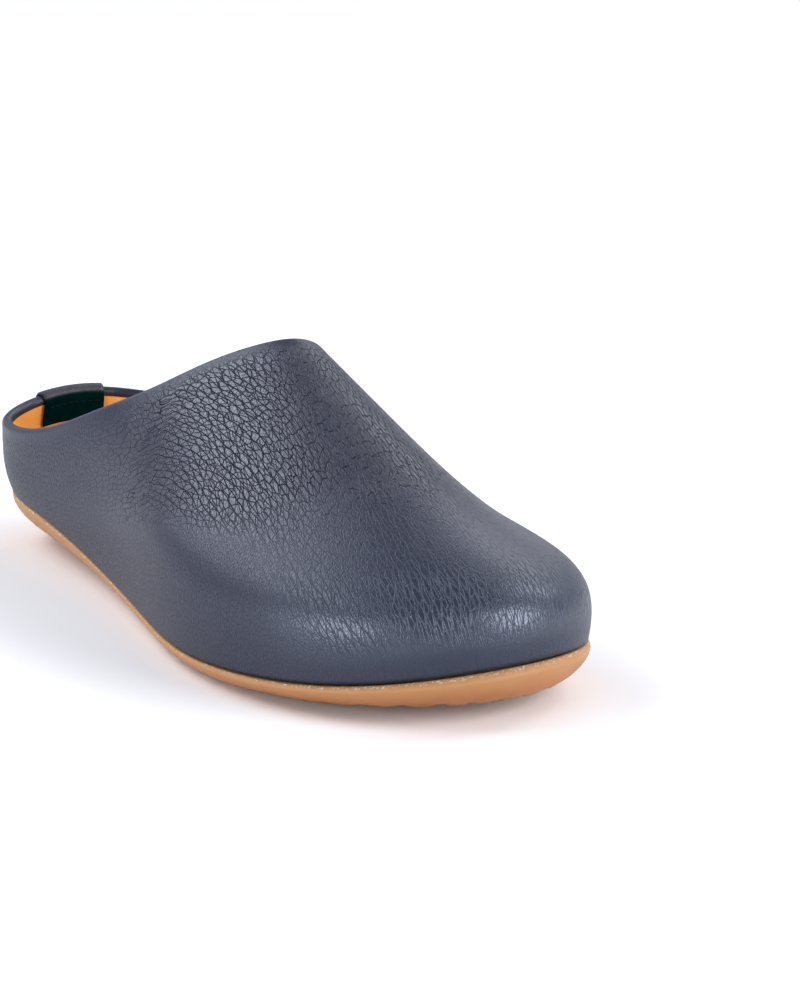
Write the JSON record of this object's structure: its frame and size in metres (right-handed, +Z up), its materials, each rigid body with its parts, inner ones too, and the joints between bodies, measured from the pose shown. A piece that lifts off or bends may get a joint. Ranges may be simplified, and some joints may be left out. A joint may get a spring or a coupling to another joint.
{
  "type": "slip-on clog",
  "caption": "Right-foot slip-on clog with a closed rounded toe, open low heel and folded heel tab: leather upper lasted on a moulded rubber cupsole",
  "frame": {"origin": "bottom centre of the bounding box, on the ground under the middle of the shoe", "axes": "+Z up, the toe points along -Y, the medial (big toe) side is towards +X"},
  "size_m": [0.1128, 0.2818, 0.0907],
  "materials": {
    "gum_rubber": "matt gum rubber",
    "foam": "closed-cell foam",
    "spring_steel": "bare spring steel",
    "cork": "pressed cork",
    "board": "cellulose board",
    "tan_lining": "smooth lining leather",
    "navy_leather": "pebbled leather, satin",
    "stiffener": "non-woven stiffener",
    "tab_leather": "smooth leather",
    "thread": "bonded thread"
  },
  "bodies": {
    "root": {"outsole": "gum_rubber", "midsole_heel_wedge": "foam", "midsole_forefoot": "foam", "shank": "spring_steel", "bottom_filler": "cork", "insole_board": "board", "footbed_foam": "foam", "heel_pad": "cork", "arch_pad": "cork", "sock_liner": "tan_lining", "upper_leather": "navy_leather", "toe_puff": "stiffener", "heel_counter": "stiffener", "topline_tape": "stiffener", "vamp_lining": "tan_lining", "quarter_lining": "tan_lining", "heel_tab": "tab_leather", "tab_stitch_lateral": "thread", "tab_stitch_medial": "thread"}
  },
  "joints": []
}
